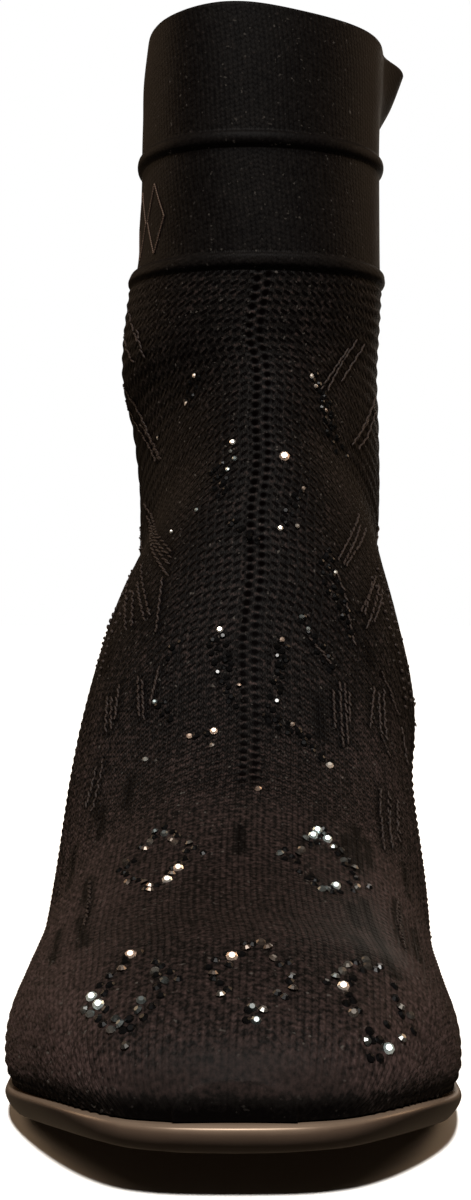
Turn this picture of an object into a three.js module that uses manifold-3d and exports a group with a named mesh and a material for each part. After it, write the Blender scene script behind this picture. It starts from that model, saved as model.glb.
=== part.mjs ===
// Knitted sock boot on a block heel, right foot, about EU 38.
// Millimetres, +Z up, toe towards -Y, the wearer's inner (medial) side towards +X.
// The origin is on the floor, under the middle of the flat tread.
import * as THREE from "three";
import { mergeVertices } from "three/addons/utils/BufferGeometryUtils.js";
import Module from "manifold-3d";

const wasm = await Module();
wasm.setup();

// Driving dimensions of the last
const shoeLength = 229; // toe tip to heel back, along the floor
const ballWidth = 86; // across the upper at the ball of the foot
const instepHeight = 82; // from the insole straight up to the instep
const heelHeight = 85; // floor to the underside of the outsole at the heel's back
const toeSpring = 8.6; // lift of the outsole under the toe tip
const springLength = 66; // toe tip to where the outsole meets the floor
const treadLength = 26; // flat stretch of the outsole on the floor
const seatSlope = 0.45; // share of the shank's mean slope that is left at the heel's back

// Driving dimensions of the shaft
const ankleHeight = 168; // floor to where the shaft's sections lie level
const collarHeight = 232; // floor to the collar's rim
const ankleWidth = 63;
const ankleDepth = 65.5;
const ankleSetback = 150; // toe tip to the front of the shaft
const lowerRollHeight = 172.5;
const upperRollHeight = 201;
const rollWidth = 3.6; // height of one raised roll on the shaft
const rollProud = 1.1;
const collarCornerProud = 12; // slack corner of the collar at its back, medial side
const cornerAngle = -0.16 * Math.PI; // of that corner, from straight medial towards the back
const cornerSpread = 0.27;

// Driving dimensions of the pieces
const wall = 2; // knitted wall with its lining
const rimRadius = 0.7;
const tuckUnder = 10; // how far the last's sections run on below the insole before they are cut
const soleThickness = 5;
const soleReveal = 0.8; // outsole edge outside the upper's lower edge
const insoleThickness = 2.2;
const gap = 0.3; // between pieces that meet
const liftThickness = 6;
const heelTopLength = 54; // breast to back under the seat
const heelBaseLength = 40;
const heelBaseWidth = 40;
const heelBaseInset = 3; // back of the heel's base, in from the back of the seat
const heelInset = 0.6; // heel block inside the outsole's edge

// Mesh fineness
const pointsAround = 40;
const outlineStep = 5;
const cutReach = shoeLength; // how far the cutting bands reach, past every piece

const namedRow = (columns) => (row) => Object.fromEntries(columns.map((name, i) => [name, row[i]]));

// Sections of the foot, from the toe tip to the ankle. Each lies in a plane across the shoe, from the point
// "front" on the ridge of the vamp to the point "under" on the sole side, and then up the heel's back.
// front, under: back from the toe tip, shares of shoeLength
// rise, underRise: above the insole line at that place, shares of instepHeight (null: tuckUnder below it)
// lateral, medial: half widths from the middle of the toe, shares of ballWidth
// widest: share of the section's height where it is widest; crown, base: squareness above and below that
const footColumns = ["front", "rise", "under", "underRise", "lateral", "medial", "widest", "crown", "base"];
const footRows = [
  [0.002, 0.085, 0.002, null, 0.12, 0.118, 0.6, 2.2, 3.2],
  [0.012, 0.13, 0.012, null, 0.205, 0.206, 0.56, 2.4, 3.2],
  [0.032, 0.18, 0.032, null, 0.267, 0.275, 0.53, 2.5, 3.2],
  [0.066, 0.24, 0.066, null, 0.328, 0.343, 0.49, 2.4, 3.3],
  [0.131, 0.33, 0.131, null, 0.408, 0.426, 0.43, 2.32, 3.5],
  [0.218, 0.391, 0.218, null, 0.475, 0.464, 0.38, 2.18, 3.6],
  [0.314, 0.46, 0.323, null, 0.484, 0.47, 0.35, 2.07, 3.6],
  [0.402, 0.57, 0.428, null, 0.462, 0.461, 0.35, 2.1, 3.4],
  [0.472, 0.69, 0.533, null, 0.449, 0.466, 0.42, 1.9, 2.3],
  [0.528, 0.86, 0.638, null, 0.428, 0.454, 0.46, 1.9, 2],
  [0.563, 0.99, 0.734, null, 0.398, 0.476, 0.44, 1.9, 2],
  [0.594, 1.1, 0.83, null, 0.352, 0.454, 0.4, 1.95, 2.2],
  [0.615, 1.19, 0.908, null, 0.292, 0.428, 0.36, 2, 2.35],
  [0.6285, 1.245, 0.96, -0.1, 0.278, 0.415, 0.35, 2, 2.3],
  [0.634, 1.275, 0.986, -0.05, 0.282, 0.413, 0.355, 2, 2.25],
  [0.638, 1.305, 0.9985, 0.03, 0.282, 0.419, 0.37, 2, 2.2],
  [0.6463, 1.36, 1.0055, 0.19, 0.285, 0.422, 0.4, 2, 2.15],
  [0.6528, 1.42, 0.989, 0.43, 0.302, 0.416, 0.44, 2, 2.1],
  [0.655, 1.49, 0.9607, 0.7, 0.33, 0.407, 0.48, 2, 2.1],
].map(namedRow(footColumns));

// Level sections of the shaft, from the ankle to the collar.
// up: share of the way from ankleHeight to collarHeight; frontOut, backOut: shares of ankleDepth, outwards
// lateral, medial: half widths from the middle of the toe, shares of ankleWidth
// lean: the foremost point's way from the section's middle to its lateral side, a share of the half width
// corner: share of collarCornerProud
const shaftColumns = ["up", "frontOut", "backOut", "lateral", "medial", "lean", "corner"];
const shaftRows = [
  [0, 0, 0, 0.424, 0.567, 0, 0],
  [0.14, 0, 0.005, 0.385, 0.563, 0.02, 0],
  [0.42, -0.005, 0.015, 0.371, 0.562, 0.1, 0],
  [0.58, -0.01, 0.025, 0.369, 0.562, 0.13, 0.02],
  [0.7, -0.012, 0.035, 0.366, 0.565, 0.15, 0.22],
  [0.84, -0.015, 0.045, 0.363, 0.573, 0.18, 0.64],
  [1, -0.02, 0.05, 0.343, 0.576, 0.26, 1],
].map(namedRow(shaftColumns));

// Layers of the outsole's side, from the tread up.
// height: share of soleThickness; outset: outwards from the reveal, in shares of soleThickness
const soleLayers = [
  { height: 0, outset: -0.6 },
  { height: 0.14, outset: -0.42 },
  { height: 0.34, outset: -0.22 },
  { height: 0.58, outset: -0.07 },
  { height: 0.84, outset: 0 },
  { height: 1, outset: -0.14 },
];

// Levels of the heel block, from its base up.
// up: share of its height; flare: share of the way from its base's outline to the seat's
const heelRows = [
  { up: 0, flare: 0 },
  { up: 0.3, flare: 0.1 },
  { up: 0.55, flare: 0.32 },
  { up: 0.78, flare: 0.7 },
  { up: 0.92, flare: 0.95 },
  { up: 1.15, flare: 1 },
];

const treadEnd = springLength + treadLength;
const originBack = springLength + treadLength / 2;
const alongShoe = (back) => back - originBack;

const easeIn = (u) => 3 * u ** 2 - 2 * u ** 3;

// Height of the outsole's upper face, back from the toe tip: toe spring, flat tread, shank and heel seat.
function soleTop(back) {
  if (back < springLength) return soleThickness + toeSpring * (1 - easeIn(Math.max(back, 0) / springLength));
  if (back < treadEnd) return soleThickness;
  const u = (back - treadEnd) / (shoeLength - treadEnd);
  return soleThickness + heelHeight * (easeIn(u) + seatSlope * (u ** 3 - u ** 2));
}

const soleUnder = (back) => soleTop(back) - soleThickness;

// Smooth blend of one named value through four neighbouring sections.
function catmull(a, b, c, d, t) {
  const cubic = -a + 3 * b - 3 * c + d;
  const square = 2 * a - 5 * b + 4 * c - d;
  return 0.5 * (2 * b + (c - a) * t + square * t ** 2 + cubic * t ** 3);
}

function blendSections(list, index, t) {
  const at = (i) => list[Math.min(Math.max(i, 0), list.length - 1)];
  const [a, b, c, d] = [at(index - 1), at(index), at(index + 1), at(index + 2)];
  return Object.fromEntries(Object.keys(b).map((key) => [key, catmull(a[key], b[key], c[key], d[key], t)]));
}

// A section in millimetres: the ends of its middle line, its half widths and its squareness.
function footSection(row) {
  const frontBack = row.front * shoeLength;
  const underBack = row.under * shoeLength;
  const underUp = row.underRise === null ? -tuckUnder : row.underRise * instepHeight;
  return {
    frontBack,
    frontZ: soleTop(frontBack) + row.rise * instepHeight,
    underBack,
    underZ: soleTop(underBack) + underUp,
    lateral: row.lateral * ballWidth,
    medial: row.medial * ballWidth,
    widest: row.widest,
    crown: row.crown,
    base: row.base,
    lean: 0,
    corner: 0,
    grow: 0,
  };
}

function shaftSection(row) {
  const z = ankleHeight + row.up * (collarHeight - ankleHeight);
  return {
    frontBack: ankleSetback - row.frontOut * ankleDepth,
    frontZ: z,
    underBack: ankleSetback + (1 + row.backOut) * ankleDepth,
    underZ: z,
    lateral: row.lateral * ankleWidth,
    medial: row.medial * ankleWidth,
    widest: 0.5,
    crown: 2.1,
    base: 2.1,
    lean: row.lean,
    corner: row.corner * collarCornerProud,
    grow: 0,
  };
}

const footSections = footRows.map(footSection);
const shaftSections = shaftRows.map(shaftSection);

function shaftSectionAt(z) {
  const next = shaftSections.findIndex((section) => section.frontZ >= z);
  const index = Math.max((next < 0 ? shaftSections.length : next) - 1, 0);
  const below = shaftSections[index].frontZ;
  const above = shaftSections[index + 1].frontZ;
  const section = blendSections(shaftSections, index, (z - below) / (above - below));
  return { ...section, frontZ: z, underZ: z };
}

// Sections of the whole last. The raised rolls and the rim's round are steps in the outer face only.
function lastSections(withRolls) {
  const joined = [...footSections, ...shaftSections];
  const sections = [];
  footSections.forEach((section, index) => {
    sections.push(section, blendSections(joined, index, 0.5));
  });
  const rollHeights = [lowerRollHeight, upperRollHeight];
  const plainHeights = [ankleHeight, (lowerRollHeight + upperRollHeight) / 2];
  const collarSteps = 4;
  const collarFoot = upperRollHeight + rollWidth;
  for (let step = 0; step <= collarSteps; step += 1) {
    plainHeights.push(collarFoot + ((collarHeight - rimRadius - collarFoot) * step) / collarSteps);
  }
  const levels = plainHeights.map((z) => ({ z, grow: 0 }));
  levels.push({ z: collarHeight, grow: withRolls ? -rimRadius : 0 });
  for (const height of withRolls ? rollHeights : []) {
    for (const [share, proud] of [[-0.5, 0], [-0.3, 0.75], [0, 1], [0.3, 0.75], [0.5, 0]]) {
      levels.push({ z: height + share * rollWidth, grow: proud * rollProud });
    }
  }
  levels.sort((a, b) => a.z - b.z);
  for (const level of levels) sections.push({ ...shaftSectionAt(level.z), grow: level.grow });
  return sections;
}

// One ring of points around a section, from its medial side underneath and back over the front or crown.
function sectionRing(section) {
  const { frontBack, frontZ, underBack, underZ } = section;
  const middle = (section.medial - section.lateral) / 2;
  const half = (section.medial + section.lateral) / 2;
  const ring = [];
  for (let i = 0; i < pointsAround; i += 1) {
    const angle = (-2 * Math.PI * i) / pointsAround;
    const [c, s] = [Math.cos(angle), Math.sin(angle)];
    const power = 2 / (s >= 0 ? section.crown : section.base);
    const across = Math.sign(c) * Math.abs(c) ** power;
    const reach = Math.abs(s) ** power;
    const along = s >= 0 ? section.widest + (1 - section.widest) * reach : section.widest * (1 - reach);
    const turn = Math.atan2(s, c) - cornerAngle;
    const slack = section.corner * Math.exp(-((turn / cornerSpread) ** 2));
    const lean = s > 0 ? section.lean * s ** 2 : 0;
    ring.push(
      new THREE.Vector3(
        middle + half * (across - lean) + slack * c,
        alongShoe(underBack + (frontBack - underBack) * along) - slack * s,
        underZ + (frontZ - underZ) * along,
      ),
    );
  }
  return ring;
}

// The last's surface as a grid of rings, moved along its own normals by offset (outwards is positive).
function lastGrid(offset, withRolls, rimExtra) {
  const sections = lastSections(withRolls);
  const rings = sections.map(sectionRing);
  const tip = rings[0].reduce((sum, p) => sum.add(p), new THREE.Vector3()).divideScalar(pointsAround);
  tip.y = alongShoe(0);
  const moved = rings.map((ring, r) => {
    const before = r > 0 ? rings[r - 1] : ring.map(() => tip);
    const after = rings[Math.min(r + 1, rings.length - 1)];
    return ring.map((point, i) => {
      const around = ring[(i + 1) % pointsAround].clone().sub(ring[(i + pointsAround - 1) % pointsAround]);
      const forward = after[i].clone().sub(before[i]);
      const normal = around.cross(forward).normalize();
      return point.clone().addScaledVector(normal, offset + sections[r].grow);
    });
  });
  tip.y -= offset;
  moved[moved.length - 1].forEach((point) => {
    point.z += rimExtra;
  });
  return { rings: moved, tip };
}

// A closed body from a grid of rings, with a fan at each end.
function ringBody(rings, startPoint) {
  const count = rings[0].length;
  const positions = [startPoint, ...rings.flat()];
  const top = rings[rings.length - 1];
  const endPoint = top.reduce((sum, p) => sum.add(p), new THREE.Vector3()).divideScalar(count);
  positions.push(endPoint);
  const at = (r, i) => 1 + r * count + (i % count);
  const triangles = [];
  for (let i = 0; i < count; i += 1) {
    triangles.push(0, at(0, i + 1), at(0, i));
    triangles.push(positions.length - 1, at(rings.length - 1, i), at(rings.length - 1, i + 1));
    for (let r = 0; r < rings.length - 1; r += 1) {
      triangles.push(at(r, i), at(r, i + 1), at(r + 1, i + 1));
      triangles.push(at(r, i), at(r + 1, i + 1), at(r + 1, i));
    }
  }
  const geometry = new THREE.BufferGeometry();
  geometry.setFromPoints(positions);
  geometry.setIndex(triangles);
  return toSolid(geometry);
}

function toSolid(geometry) {
  geometry.deleteAttribute("normal");
  geometry.deleteAttribute("uv");
  const merged = mergeVertices(geometry, 1e-4);
  const mesh = new wasm.Mesh({
    numProp: 3,
    vertProperties: Float32Array.from(merged.attributes.position.array),
    triVerts: Uint32Array.from(merged.index.array),
  });
  return new wasm.Manifold(mesh);
}

function toGeometry(solid) {
  const mesh = solid.getMesh();
  const geometry = new THREE.BufferGeometry();
  geometry.setAttribute("position", new THREE.BufferAttribute(mesh.vertProperties, 3));
  geometry.setIndex(new THREE.BufferAttribute(mesh.triVerts, 1));
  geometry.computeVertexNormals();
  return geometry;
}

// The space between two curves of the side view, right across the shoe.
function bandAcross(lower, upper) {
  const beyond = 20;
  const backs = [];
  for (let back = -beyond; back <= shoeLength + beyond; back += outlineStep) backs.push(back);
  const outline = [
    ...backs.map((back) => new THREE.Vector2(alongShoe(back), lower(back))),
    ...backs.reverse().map((back) => new THREE.Vector2(alongShoe(back), upper(back))),
  ];
  const across = { depth: 2 * cutReach, bevelEnabled: false };
  const geometry = new THREE.ExtrudeGeometry(new THREE.Shape(outline), across);
  geometry.translate(0, 0, -cutReach);
  const sideways = new THREE.Matrix4().makeBasis(
    new THREE.Vector3(0, 1, 0),
    new THREE.Vector3(0, 0, 1),
    new THREE.Vector3(1, 0, 0),
  );
  geometry.applyMatrix4(sideways);
  return toSolid(geometry);
}

// The line where the last's outer face meets the sole, as pairs of side points from toe to heel.
function featherLine() {
  const { rings, tip } = lastGrid(0, false, 0);
  const over = (p) => p.z - soleTop(p.y + originBack);
  const bottomIndex = pointsAround / 4;
  const crossing = (p, q) => p.clone().lerp(q, over(p) / (over(p) - over(q)));
  const pairs = [];
  let heelEnd = null;
  rings.forEach((ring, r) => {
    if (over(ring[bottomIndex]) >= 0) {
      if (!heelEnd) heelEnd = crossing(rings[r - 1][bottomIndex], ring[bottomIndex]);
      return;
    }
    const side = (direction) => {
      let i = bottomIndex;
      while (over(ring[(i + direction + pointsAround) % pointsAround]) < 0) i += direction;
      return crossing(ring[i % pointsAround], ring[(i + direction + pointsAround) % pointsAround]);
    };
    pairs.push({ medial: side(-1), lateral: side(1) });
  });
  return { pairs: refinePairs(pairs), toeEnd: new THREE.Vector3(tip.x, tip.y, 0), heelEnd };
}

// More pairs between the given ones, so that none lie further apart than the step.
function refinePairs(pairs) {
  const sidePoints = (side) => pairs.map((pair) => pair[side]);
  const blend = (side, index, t) => new THREE.Vector3().copy(blendSections(sidePoints(side), index, t));
  return pairs.flatMap((pair, index) => {
    const next = pairs[index + 1];
    const parts = next ? Math.ceil((next.medial.y - pair.medial.y) / outlineStep) : 1;
    return Array.from({ length: parts }, (_, part) => ({
      medial: blend("medial", index, part / parts),
      lateral: blend("lateral", index, part / parts),
    }));
  });
}

// Closed outline of the sole seen from above, counter-clockwise: toe, medial side, heel, lateral side.
function soleOutline(outset) {
  const { pairs, toeEnd, heelEnd } = featherLine();
  const line = [
    toeEnd,
    ...pairs.map((pair) => pair.medial),
    heelEnd,
    ...pairs.map((pair) => pair.lateral).reverse(),
  ];
  return line.map((point, i) => {
    const next = line[(i + 1) % line.length];
    const previous = line[(i + line.length - 1) % line.length];
    const outward = new THREE.Vector2(next.y - previous.y, previous.x - next.x).normalize();
    return new THREE.Vector2(point.x + outward.x * outset, point.y + outward.y * outset);
  });
}

function makeOutsole() {
  const layers = soleLayers.map((layer) => {
    const outline = soleOutline(soleReveal + layer.outset * soleThickness);
    return outline.map((p) => {
      const z = soleUnder(p.y + originBack) + layer.height * soleThickness;
      return new THREE.Vector3(p.x, p.y, z);
    });
  });
  const count = layers[0].length;
  const top = (layers.length - 1) * count;
  const triangles = [];
  for (let layer = 0; layer < layers.length - 1; layer += 1) {
    for (let i = 0; i < count; i += 1) {
      const [a, b] = [layer * count + i, layer * count + ((i + 1) % count)];
      triangles.push(a, b, b + count, a, b + count, a + count);
    }
  }
  for (let i = 0; i < count / 2; i += 1) {
    const across = (count - i) % count;
    const nextAcross = count - i - 1;
    const faces = [[i, i + 1, nextAcross], [i, nextAcross, across]];
    for (const [p, q, r] of faces.filter((face) => new Set(face).size === 3)) {
      triangles.push(top + p, top + q, top + r, r, q, p);
    }
  }
  const geometry = new THREE.BufferGeometry().setFromPoints(layers.flat());
  geometry.setIndex(triangles);
  return toSolid(geometry);
}

function makeUpper() {
  const outer = lastGrid(0, true, 0);
  const inner = lastGrid(-wall, false, wall);
  const below = bandAcross((back) => soleTop(back) - cutReach, (back) => soleTop(back) + gap);
  return ringBody(outer.rings, outer.tip).subtract(ringBody(inner.rings, inner.tip)).subtract(below);
}

function makeInsole() {
  const room = lastGrid(-wall - gap, false, 0);
  const sheet = bandAcross(
    (back) => soleTop(back) + gap,
    (back) => soleTop(back) + gap + insoleThickness,
  );
  return ringBody(room.rings, room.tip).intersect(sheet);
}

// Half outlines of the heel: round a D from the medial breast corner over the back to the lateral one.
const heelPoints = 17;
const heelSquareness = 2.6;

function heelBaseOutline() {
  const backEnd = shoeLength - heelBaseInset;
  const heelEnd = featherLine().heelEnd;
  return Array.from({ length: heelPoints }, (_, i) => {
    const angle = (Math.PI * i) / (heelPoints - 1);
    const [c, s] = [Math.cos(angle), Math.sin(angle)];
    const across = Math.sign(c) * Math.abs(c) ** (2 / heelSquareness);
    const back = backEnd - heelBaseLength * (1 - Math.abs(s) ** (2 / heelSquareness));
    return new THREE.Vector2(heelEnd.x + (across * heelBaseWidth) / 2, alongShoe(back));
  });
}

function heelSeatOutline() {
  const outline = soleOutline(soleReveal - heelInset);
  const heelIndex = outline.length / 2;
  const breast = alongShoe(shoeLength - heelTopLength);
  const sides = [outline.slice(0, heelIndex + 1), [outline[0], ...outline.slice(heelIndex).reverse()]];
  const sideX = (side, y) => {
    const i = Math.max(side.findIndex((p) => p.y >= y), 1);
    const share = (y - side[i - 1].y) / (side[i].y - side[i - 1].y);
    return side[i - 1].x + (side[i].x - side[i - 1].x) * share;
  };
  const backEnd = outline[heelIndex].y;
  return Array.from({ length: heelPoints }, (_, i) => {
    if (i === (heelPoints - 1) / 2) return outline[heelIndex].clone();
    const angle = (Math.PI * i) / (heelPoints - 1);
    const y = breast + (backEnd - breast) * Math.sin(angle);
    return new THREE.Vector2(sideX(i < heelPoints / 2 ? sides[0] : sides[1], y), y);
  });
}

function outlineStack(levels) {
  const start = levels[0].reduce((sum, p) => sum.add(p), new THREE.Vector3()).divideScalar(levels[0].length);
  return ringBody(levels, start);
}

function makeHeel() {
  const base = heelBaseOutline();
  const seat = heelSeatOutline();
  const foot = liftThickness + gap;
  const levels = heelRows.map(({ up, flare }) =>
    base.map((p, i) => {
      const at = p.clone().lerp(seat[i], flare);
      return new THREE.Vector3(at.x, at.y, foot + up * (heelHeight - foot));
    }),
  );
  const above = bandAcross((back) => soleUnder(back) - gap, (back) => soleUnder(back) + cutReach);
  return outlineStack(levels).subtract(above);
}

function makeTopLift() {
  const base = heelBaseOutline();
  return outlineStack([0, liftThickness].map((z) => base.map((p) => new THREE.Vector3(p.x, p.y, z))));
}

const finishes = {
  knit: { color: 0x1c1a19, roughness: 0.92, metalness: 0 },
  lining: { color: 0x2a2725, roughness: 0.95, metalness: 0 },
  glossySole: { color: 0x0c0c0d, roughness: 0.22, metalness: 0 },
  heelCover: { color: 0x131213, roughness: 0.35, metalness: 0 },
  rubber: { color: 0x161616, roughness: 0.7, metalness: 0 },
};

const boot = new THREE.Group();

function addPiece(name, solid, finish) {
  const mesh = new THREE.Mesh(toGeometry(solid), new THREE.MeshStandardMaterial(finishes[finish]));
  mesh.name = name;
  boot.add(mesh);
}

addPiece("upper", makeUpper(), "knit");
addPiece("insole", makeInsole(), "lining");
addPiece("outsole", makeOutsole(), "glossySole");
addPiece("heel", makeHeel(), "heelCover");
addPiece("top_lift", makeTopLift(), "rubber");

export default boot;
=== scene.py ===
from functools import partial

import bmesh
import bpy
import numpy as np
from mathutils import Matrix, Vector
from mathutils.bvhtree import BVHTree
from mathutils.kdtree import KDTree


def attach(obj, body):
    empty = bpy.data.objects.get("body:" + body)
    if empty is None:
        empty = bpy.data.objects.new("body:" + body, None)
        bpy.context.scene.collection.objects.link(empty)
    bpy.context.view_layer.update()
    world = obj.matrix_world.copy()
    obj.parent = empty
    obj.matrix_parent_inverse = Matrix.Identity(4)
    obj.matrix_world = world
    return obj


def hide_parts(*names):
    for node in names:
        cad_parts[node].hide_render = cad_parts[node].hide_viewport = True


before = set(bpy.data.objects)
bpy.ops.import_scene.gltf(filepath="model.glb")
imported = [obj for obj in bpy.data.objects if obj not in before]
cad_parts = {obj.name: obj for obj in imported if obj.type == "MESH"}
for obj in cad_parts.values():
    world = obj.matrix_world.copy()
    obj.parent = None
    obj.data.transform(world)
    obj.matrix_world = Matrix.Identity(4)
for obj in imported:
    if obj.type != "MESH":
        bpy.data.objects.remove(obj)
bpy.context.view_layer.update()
MM = 0.001

# Sizes of the last and the shaft, in millimetres, as in the part's source
SHOE_LENGTH = 229
BALL_WIDTH = 86
INSTEP_HEIGHT = 82
HEEL_HEIGHT = 85
TOE_SPRING = 8.6
SPRING_LENGTH = 66
TREAD_LENGTH = 26
SEAT_SLOPE = 0.45
SOLE_THICKNESS = 5
TUCK_UNDER = 10
GAP = 0.3
ANKLE_HEIGHT = 168
COLLAR_HEIGHT = 232
ANKLE_WIDTH = 63
ANKLE_DEPTH = 65.5
ANKLE_SETBACK = 150
COLLAR_CORNER = 12
CORNER_ANGLE = -0.16 * np.pi
CORNER_SPREAD = 0.27
WALL = 2
ROLL_HEIGHTS = (172.5, 201)
ROLL_WIDTH = 3.6
ROLL_PROUD = 1.1
ORIGIN_BACK = SPRING_LENGTH + TREAD_LENGTH / 2
SHANK_LENGTH = SHOE_LENGTH - SPRING_LENGTH - TREAD_LENGTH

# The photograph's frame in pixels, the camera at its height and distance, and where the key light comes from
PHOTO_WIDTH, PHOTO_HEIGHT = 471, 1200
CAMERA_LENS = 54.6
CAMERA_PLACE = (0, -0.354, 0.093)
KEY_FROM = (0, -0.64, 0.77)

# Counts of rows and columns in the sheets of knit and lining
KNIT_COLUMNS = 200
KNIT_END_ROWS = 8
LINING_ROWS = 110
LINING_COLUMNS = 120
LINING_END_ROWS = 4
WELD = 2e-5  # metres between points that are taken for one

# Sizes of the knit, in millimetres
COURSE = 2.2  # one row of the open-work, along the ridge of the foot and the front of the leg
LOOP_WIDTH = 2.1  # of the open-work
STITCH = 1.1  # width and height of one plain stitch
RIB = 1.15  # one rib and its groove, on the toe and the cuff
LOOP_FALL = 0.3  # of the loops' rows per mm from the ladder
ROW_FALL = 0.5  # of the open-work's rows per mm from the ladder
HOLE_OUT = 1.25  # from the ladder's middle to the middle of its holes
HOLE_HALF_WIDTH = 0.95
HOLE_HALF_SHARE = 0.42  # of a course
LEG_COURSE = 150  # where the rows have turned from the foot to the leg
# The ladder's middle, as courses and distances from the ridge
LADDER = ((100, 2.4), (129, 2.2), (153, 1.5), (178, 0.3), (204, 0.0), (236, 1.9))
MASKS = ("from_ladder", "ladder", "open_work", "ribbed", "smooth", "light_and_tone")

# Sizes of the raised ribs' stitches and steps, and of the stones' steps, in millimetres
FLOAT = (0.95, 0.27, 0.24)
FLOAT_STEP = 1.2
KNOT = (0.62, 0.42, 0.4)
KNOT_STEP = 2.1
CHAIN_STEP = 1.25
LOZENGE_STEP = 2.4

# Sizes of what varies in the materials, in millimetres
FUZZ = 0.9
FLECK = 1.0
PATCH = 14
FIBRE = 0.3  # of the floats, about their real size
JET_CLOUD = 9
CRYSTAL_CAST = 11
COAT_WEAR = 1000 / 180
SOLE_WEAR = 1000 / 60

# Colours of the yarn's bloom and of what the lacquer mirrors
BLOOM = "#a58a72"
WARM = "#ffe2c8"

# Foot sections from the toe back: front, rise, under, rise under, lateral, medial, widest, crown, base
FOOT_ROWS = [
    [0.002, 0.085, 0.002, None, 0.12, 0.118, 0.6, 2.2, 3.2],
    [0.012, 0.13, 0.012, None, 0.205, 0.206, 0.56, 2.4, 3.2],
    [0.032, 0.18, 0.032, None, 0.267, 0.275, 0.53, 2.5, 3.2],
    [0.066, 0.24, 0.066, None, 0.328, 0.343, 0.49, 2.4, 3.3],
    [0.131, 0.33, 0.131, None, 0.408, 0.426, 0.43, 2.32, 3.5],
    [0.218, 0.391, 0.218, None, 0.475, 0.464, 0.38, 2.18, 3.6],
    [0.314, 0.46, 0.323, None, 0.484, 0.47, 0.35, 2.07, 3.6],
    [0.402, 0.57, 0.428, None, 0.462, 0.461, 0.35, 2.1, 3.4],
    [0.472, 0.69, 0.533, None, 0.449, 0.466, 0.42, 1.9, 2.3],
    [0.528, 0.86, 0.638, None, 0.428, 0.454, 0.46, 1.9, 2],
    [0.563, 0.99, 0.734, None, 0.398, 0.476, 0.44, 1.9, 2],
    [0.594, 1.1, 0.83, None, 0.352, 0.454, 0.4, 1.95, 2.2],
    [0.615, 1.19, 0.908, None, 0.292, 0.428, 0.36, 2, 2.35],
    [0.6285, 1.245, 0.96, -0.1, 0.278, 0.415, 0.35, 2, 2.3],
    [0.634, 1.275, 0.986, -0.05, 0.282, 0.413, 0.355, 2, 2.25],
    [0.638, 1.305, 0.9985, 0.03, 0.282, 0.419, 0.37, 2, 2.2],
    [0.6463, 1.36, 1.0055, 0.19, 0.285, 0.422, 0.4, 2, 2.15],
    [0.6528, 1.42, 0.989, 0.43, 0.302, 0.416, 0.44, 2, 2.1],
    [0.655, 1.49, 0.9607, 0.7, 0.33, 0.407, 0.48, 2, 2.1],
]
# Shaft sections from the ankle up: up, front out, back out, lateral, medial, lean, corner
SHAFT_ROWS = [
    [0, 0, 0, 0.424, 0.567, 0, 0],
    [0.14, 0, 0.005, 0.385, 0.563, 0.02, 0],
    [0.42, -0.005, 0.015, 0.371, 0.562, 0.1, 0],
    [0.58, -0.01, 0.025, 0.369, 0.562, 0.13, 0.02],
    [0.7, -0.012, 0.035, 0.366, 0.565, 0.15, 0.22],
    [0.84, -0.015, 0.045, 0.363, 0.573, 0.18, 0.64],
    [1, -0.02, 0.05, 0.343, 0.576, 0.26, 1],
]


def sole_top(back):
    """Height in mm of the sole's upper face at a distance back from the toe."""
    spring = np.clip(back / SPRING_LENGTH, 0, 1)
    shank = np.clip((back - SPRING_LENGTH - TREAD_LENGTH) / SHANK_LENGTH, 0, 2)
    toe = TOE_SPRING * (1 - 3 * spring**2 + 2 * spring**3)
    heel = HEEL_HEIGHT * (3 * shank**2 - 2 * shank**3 + SEAT_SLOPE * (shank**3 - shank**2))
    return SOLE_THICKNESS + toe + heel


def last_sections():
    """The last's sections in mm: their ends in front and under, half widths, shape, lean and corner."""
    sections = []
    for front, rise, under, under_rise, lateral, medial, widest, crown, base in FOOT_ROWS:
        front_back, under_back = front * SHOE_LENGTH, under * SHOE_LENGTH
        under_up = -TUCK_UNDER if under_rise is None else under_rise * INSTEP_HEIGHT
        front_z = sole_top(front_back) + rise * INSTEP_HEIGHT
        ends = [front_back, front_z, under_back, sole_top(under_back) + under_up]
        sections.append([*ends, lateral * BALL_WIDTH, medial * BALL_WIDTH, widest, crown, base, 0, 0])
    for up, front_out, back_out, lateral, medial, lean, corner in SHAFT_ROWS:
        z = ANKLE_HEIGHT + up * (COLLAR_HEIGHT - ANKLE_HEIGHT)
        front_back = ANKLE_SETBACK - front_out * ANKLE_DEPTH
        under_back = ANKLE_SETBACK + (1 + back_out) * ANKLE_DEPTH
        widths = [lateral * ANKLE_WIDTH, medial * ANKLE_WIDTH]
        sections.append([front_back, z, under_back, z, *widths, 0.5, 2.1, 2.1, lean, corner * COLLAR_CORNER])
    return np.array(sections, float)


SECTIONS = last_sections()
SECTION_ENDS = len(SECTIONS) - 1


def blend_sections(place):
    """Sections at places along the last, through four neighbouring rows of the table."""
    index = np.clip(np.floor(place).astype(int), 0, SECTION_ENDS - 1)
    t = (place - index)[:, None]
    a, b, c, d = (SECTIONS[np.clip(index + step, 0, SECTION_ENDS)] for step in (-1, 0, 1, 2))
    cubic = -a + 3 * b - 3 * c + d
    square = 2 * a - 5 * b + 4 * c - d
    return 0.5 * (2 * b + (c - a) * t + square * t**2 + cubic * t**3)


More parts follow.
